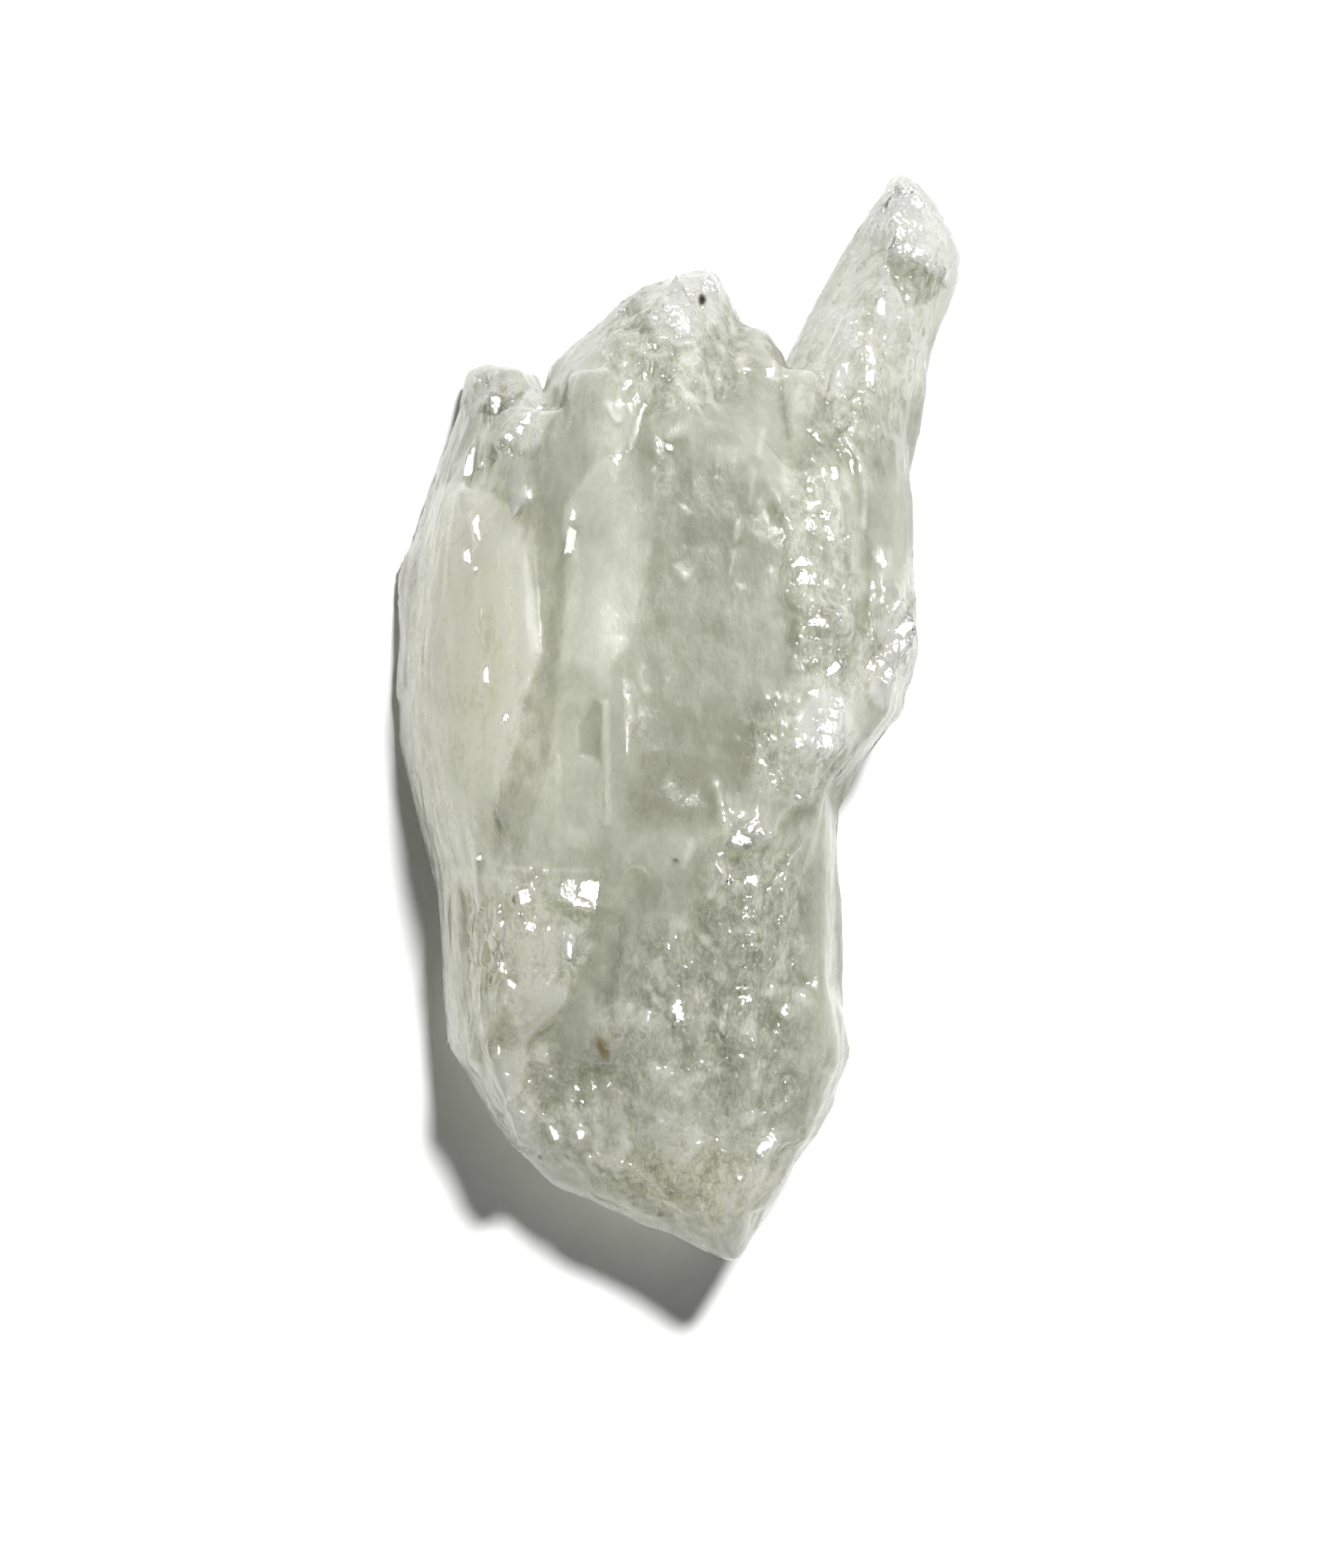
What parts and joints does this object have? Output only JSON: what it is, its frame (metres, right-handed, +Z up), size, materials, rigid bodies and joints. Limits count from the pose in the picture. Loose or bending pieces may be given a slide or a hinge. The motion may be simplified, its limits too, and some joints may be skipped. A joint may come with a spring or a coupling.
{
  "type": "prasiolite crystal",
  "caption": "Rough pale green quartz crystal lying on its flat side: fused lengthwise columns with a stepped crown and one long spire.",
  "frame": {"origin": "middle of the underside of the box that just holds the stone, on the surface it lies on", "axes": "+Y along the stone towards its pointed growing ends, +Z up from the face it lies on, +X towards the spire"},
  "size_m": [0.0262, 0.05, 0.0148],
  "materials": {
    "quartz": "natural cloudy quartz, wet-looking with small bright growth faces"
  },
  "bodies": {
    "root": {"prasiolite_crystal": "quartz"}
  },
  "joints": []
}
